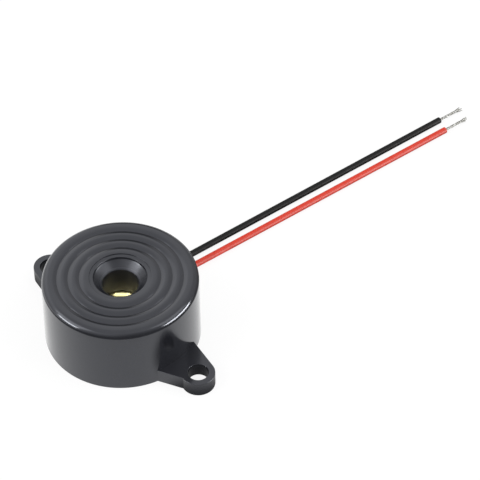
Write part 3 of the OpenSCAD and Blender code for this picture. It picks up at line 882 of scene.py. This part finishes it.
def addDust(dust, tree, shader, surface, relief):
    specks = addNode(tree, "ShaderNodeTexVoronoi", {"Scale": dust["scale"]})
    blend = addNode(tree, "ShaderNodeMix", {"B": (*dust["color"], 1)}, data_type="RGBA")
    tree.links.new(objectPlace(tree), specks.inputs["Vector"])
    grey = ranged(tree, specks.outputs["Distance"], dust["core"], dust["edge"], 1, 0)
    tree.links.new(grey, blend.inputs["Factor"])
    tree.links.new(surface.outputs["Color"], blend.inputs["A"])
    tree.links.new(blend.outputs["Result"], shader.inputs["Base Color"])


features = {
    "lines": addLines,
    "ridges": addRidges,
    "bands": addBands,
    "coarse": addCoarseBowl,
    "dust": addDust,
}


def buildFinish(slotName, look):
    material, tree, shader, surface, relief = newFinish(slotName, look)
    for feature, addFeature in features.items():
        if feature in look:
            addFeature(look[feature], tree, shader, surface, relief)
    return material


finishes = {slotName: buildFinish(slotName, look) for slotName, look in finishLooks.items()}
for node in nodes.values():
    slotName = node.data.materials[0].name
    for materialSlot in node.material_slots:
        materialSlot.material = finishes[slotName]
print("materials made,", len(finishes))


def dress(piece, slotName, *replaced):
    piece.data.materials.clear()
    piece.data.materials.append(finishes[slotName])
    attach(piece, "root")
    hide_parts(*replaced)


dress(housing, "black_abs", "housing")
dress(blackLead, "black_pvc", "black_lead")
dress(redLead, "red_pvc", "red_lead")
dress(blackStrands, "tinned_copper", "black_lead_core")
dress(redStrands, "tinned_copper", "red_lead_core")
print("pieces dressed")


# Floor. The eye sees it white, and it keeps a soft shadow. Reflections see a painted pool of light and painted
# shadow.
floorLook = {
    "size": 3.0,
    "drop": 0.00001,
    "shade": 0.8,              # what it throws back on to the object
    "cameraGlow": 0.87,
    "cameraShade": 0.18,       # share of the floor's light that shadows can take away
    "poolRadius": 0.0275,      # painted pool of light on the floor that the wall reflects
    "poolFade": 0.003,
    "poolGlow": 1.35,
    "farGlow": 0.25,
    "leftFrom": 0.03,          # from here on to the left the reflected floor is painted bright again
    "leftGlow": 1.6,
    "holeReach": ear["holeReach"],
    "holeShade": 0.003,
    "holeFade": 0.0042,
    "holeLeft": 0.16,          # share of the glow that the painted shadow leaves round the ear holes
}


def mixShaders(tree, factor, first, second):
    mix = addNode(tree, "ShaderNodeMixShader")
    tree.links.new(factor, mix.inputs["Fac"])
    tree.links.new(first, mix.inputs[1])
    tree.links.new(second, mix.inputs[2])
    return mix.outputs["Shader"]


def mirroredOnly(tree, rays):
    return eitherOf(tree, rays.outputs["Is Glossy Ray"], rays.outputs["Is Transmission Ray"])


def holeShading(tree, look, place):
    # Painted shadow in the reflected floor: 1 on open floor, and less in and round both ear holes.
    folded = addNode(tree, "ShaderNodeVectorMath", operation="ABSOLUTE")
    apart = addNode(tree, "ShaderNodeVectorMath", {1: (look["holeReach"], 0, 0)}, operation="DISTANCE")
    shade = addNode(
        tree, "ShaderNodeGroup", {"Half Width": look["holeShade"], "Softness": look["holeFade"]},
        node_tree=bandMask,
    )
    left = addNode(tree, "ShaderNodeMath", {1: look["holeLeft"] - 1, 2: 1}, operation="MULTIPLY_ADD")
    tree.links.new(place, folded.inputs[0])
    tree.links.new(folded.outputs["Vector"], apart.inputs[0])
    tree.links.new(apart.outputs["Value"], shade.inputs["Coordinate"])
    tree.links.new(shade.outputs["Mask"], left.inputs[0])
    return left.outputs["Value"]


def poolStrength(tree, look):
    # Painted pool of light round the object and a painted bright stretch far out on the left, for reflections
    # only.
    place = addNode(tree, "ShaderNodeTexCoord").outputs["Object"]
    reach = addNode(tree, "ShaderNodeVectorMath", operation="LENGTH")
    split = addNode(tree, "ShaderNodeSeparateXYZ")
    level = addNode(tree, "ShaderNodeMath", operation="MULTIPLY")
    tree.links.new(place, reach.inputs[0])
    tree.links.new(place, split.inputs["Vector"])
    pool = ranged(
        tree, reach.outputs["Value"], look["poolRadius"], look["poolRadius"] + look["poolFade"],
        look["poolGlow"], look["farGlow"], "SMOOTHSTEP",
    )
    tree.links.new(holeShading(tree, look, place), level.inputs[0])
    tree.links.new(pool, level.inputs[1])
    leftEdge = -look["leftFrom"]
    farLeft = ranged(tree, split.outputs["X"], leftEdge - look["poolFade"], leftEdge, look["leftGlow"], 0)
    return eitherOf(tree, level.outputs["Value"], farLeft)


def addFloor(look):
    deselectAll()
    bpy.ops.mesh.primitive_plane_add(size=look["size"], location=(0, 0, -look["drop"]))
    floor = bpy.context.object
    floor.name = "floor"
    material = bpy.data.materials.new("floor_white")
    material.use_nodes = True
    tree = material.node_tree
    tree.nodes.remove(tree.nodes["Principled BSDF"])
    rays = addNode(tree, "ShaderNodeLightPath")
    matt = addNode(tree, "ShaderNodeBsdfDiffuse", {"Color": (*[look["shade"]] * 3, 1)})
    seen = addNode(tree, "ShaderNodeBsdfDiffuse", {"Color": (*[look["cameraShade"]] * 3, 1)})
    glow = addNode(tree, "ShaderNodeEmission", {"Strength": look["cameraGlow"]})
    both = addNode(tree, "ShaderNodeAddShader")
    tree.links.new(seen.outputs["BSDF"], both.inputs[0])
    tree.links.new(glow.outputs["Emission"], both.inputs[1])
    pool = addNode(tree, "ShaderNodeEmission")
    tree.links.new(poolStrength(tree, look), pool.inputs["Strength"])
    unseen = mixShaders(tree, mirroredOnly(tree, rays), matt.outputs["BSDF"], pool.outputs["Emission"])
    surface = mixShaders(tree, rays.outputs["Is Camera Ray"], unseen, both.outputs["Shader"])
    tree.links.new(surface, tree.nodes["Material Output"].inputs["Surface"])
    floor.data.materials.append(material)


addFloor(floorLook)


# Room. White to the eye. For reflections it fades downwards and towards the camera's side. Behind the object
# it is brighter on the left than on the right, with a narrow dark gap between.
roomLook = {
    "diffuse": 0.62,
    "mirrored": 1.38,
    "downward": ((0.0, 0.5), (0.16, 0.57), (0.36, 0.8), (0.62, 1.0)),
    "gap": ((0.0, 0.03), (0.3, 0.03), (0.5, 0.5), (0.62, 1.0)),
    "gapHalfWidth": 0.1,
    "gapFade": 0.09,
    "gapBehind": (-0.3, -0.5),
    "forward": ((0.5, 1.0), (0.75, 0.67), (0.9, 0.52), (1.0, 0.49)),
    "leftLift": 1.5,
    "rightLift": 0.8,
    "liftReach": 0.25,
    "liftTop": (0.7, 0.82),
}


def buildRoom(look):
    world = bpy.data.worlds.new("room")
    bpy.context.scene.world = world
    world.use_nodes = True
    tree = world.node_tree
    link = tree.links.new
    rays = addNode(tree, "ShaderNodeLightPath")
    place = addNode(tree, "ShaderNodeTexCoord").outputs["Generated"]
    split = addNode(tree, "ShaderNodeSeparateXYZ")
    link(place, split.inputs["Vector"])
    height = split.outputs["Z"]

    def towards(azimuth):
        share = addNode(tree, "ShaderNodeVectorMath", {1: directionOf(azimuth, 0)}, operation="DOT_PRODUCT")
        link(place, share.inputs[0])
        return share.outputs["Value"]

    def ramped(value, stops):
        fade = addNode(tree, "ShaderNodeValToRGB")
        ramp = fade.color_ramp
        while len(ramp.elements) < len(stops):
            ramp.elements.new(0.5)
        for element, (position, level) in zip(ramp.elements, stops):
            element.position = position
            element.color = (level, level, level, 1)
        link(value, fade.inputs["Fac"])
        return fade.outputs["Color"]

    def times(first, second):
        product = addNode(tree, "ShaderNodeMix", data_type="RGBA", blend_type="MULTIPLY")
        product.inputs["Factor"].default_value = 1
        link(first, product.inputs["A"])
        link(second, product.inputs["B"])
        return product.outputs["Result"]

    def background(level):
        return addNode(tree, "ShaderNodeBackground", {"Color": (1, 1, 1, 1), "Strength": level})

    front, right = towards(cameraPlace["azimuth"]), towards(cameraPlace["azimuth"] + 90)
    aside = addNode(tree, "ShaderNodeMath", operation="ABSOLUTE")
    link(right, aside.inputs[0])
    gapEdge = look["gapHalfWidth"] + look["gapFade"]
    inGap = ranged(tree, aside.outputs["Value"], look["gapHalfWidth"], gapEdge, 1, 0)
    gap = addNode(tree, "ShaderNodeMix", data_type="RGBA")
    link(times(inGap, ranged(tree, front, *look["gapBehind"], 0, 1)), gap.inputs["Factor"])
    link(ramped(height, look["downward"]), gap.inputs["A"])
    link(ramped(height, look["gap"]), gap.inputs["B"])
    lift = addNode(tree, "ShaderNodeMix", {"A": look["mirrored"]})
    leftLevel, rightLevel = look["mirrored"] * look["leftLift"], look["mirrored"] * look["rightLift"]
    link(ranged(tree, height, *look["liftTop"], 1, 0), lift.inputs["Factor"])
    link(ranged(tree, right, -look["liftReach"], look["liftReach"], leftLevel, rightLevel), lift.inputs["B"])

    seen, soft, mirrored = background(1.0), background(look["diffuse"]), background(1.0)
    link(times(gap.outputs["Result"], ramped(front, look["forward"])), mirrored.inputs["Color"])
    link(lift.outputs["Result"], mirrored.inputs["Strength"])
    seen, soft, mirrored = seen.outputs[0], soft.outputs[0], mirrored.outputs[0]
    lit = mixShaders(tree, mirroredOnly(tree, rays), soft, mirrored)
    surface = mixShaders(tree, rays.outputs["Is Camera Ray"], lit, seen)
    link(surface, tree.nodes["World Output"].inputs["Surface"])


buildRoom(roomLook)
print("floor and room made")


# Soft boxes to the left and right of the camera, strips that only reflections show, and a narrow light down
# the sound hole. They stand at a distance from where they aim.
lampLooks = {
    "softbox_left": {
        "azimuth": -32, "elevation": 44, "distance": 0.6, "size": (0.42, 0.3), "level": 2.2,
    },
    "softbox_right": {
        "azimuth": 123, "elevation": 46, "distance": 0.6, "size": (0.42, 0.3), "level": 1.9,
    },
    "softbox_left_strip": {
        "azimuth": -27, "elevation": 19, "distance": 0.6, "size": (0.3, 0.16), "level": 16, "strip": True,
    },
    "softbox_right_strip": {
        "azimuth": 122, "elevation": 8, "distance": 0.6, "size": (0.46, 0.19), "level": 24, "strip": True,
    },
    "throat_light": {
        "azimuth": 43, "elevation": 88, "distance": 0.03, "size": (0.0032, 0.0007), "power": 0.000025,
        "aim": (-0.002, 0.00213, 0.0065), "spread": 1.5,
    },
}


def addLamp(name, look):
    away = directionOf(look["azimuth"], look["elevation"])
    place = Vector(look.get("aim", (0, 0, 0))) + look["distance"] * away
    deselectAll()
    bpy.ops.object.light_add(type="AREA", location=place)
    lamp = bpy.context.object
    lamp.name = name
    lamp.rotation_mode = "QUATERNION"
    lamp.rotation_quaternion = (-away).to_track_quat("-Z", "Y")
    lamp.data.shape = "RECTANGLE"
    lamp.data.size, lamp.data.size_y = look["size"]
    if "level" in look:
        lamp.data.energy = look["level"] * math.pi * look["size"][0] * look["size"][1]
    else:
        lamp.data.energy = look["power"]
        lamp.data.spread = math.radians(look["spread"])
        lamp.visible_camera = False
    if look.get("strip"):
        lamp.visible_diffuse = False


for lampName, lampLook in lampLooks.items():
    addLamp(lampName, lampLook)
print("lights placed")

bpy.context.scene.view_settings.view_transform = "Standard"
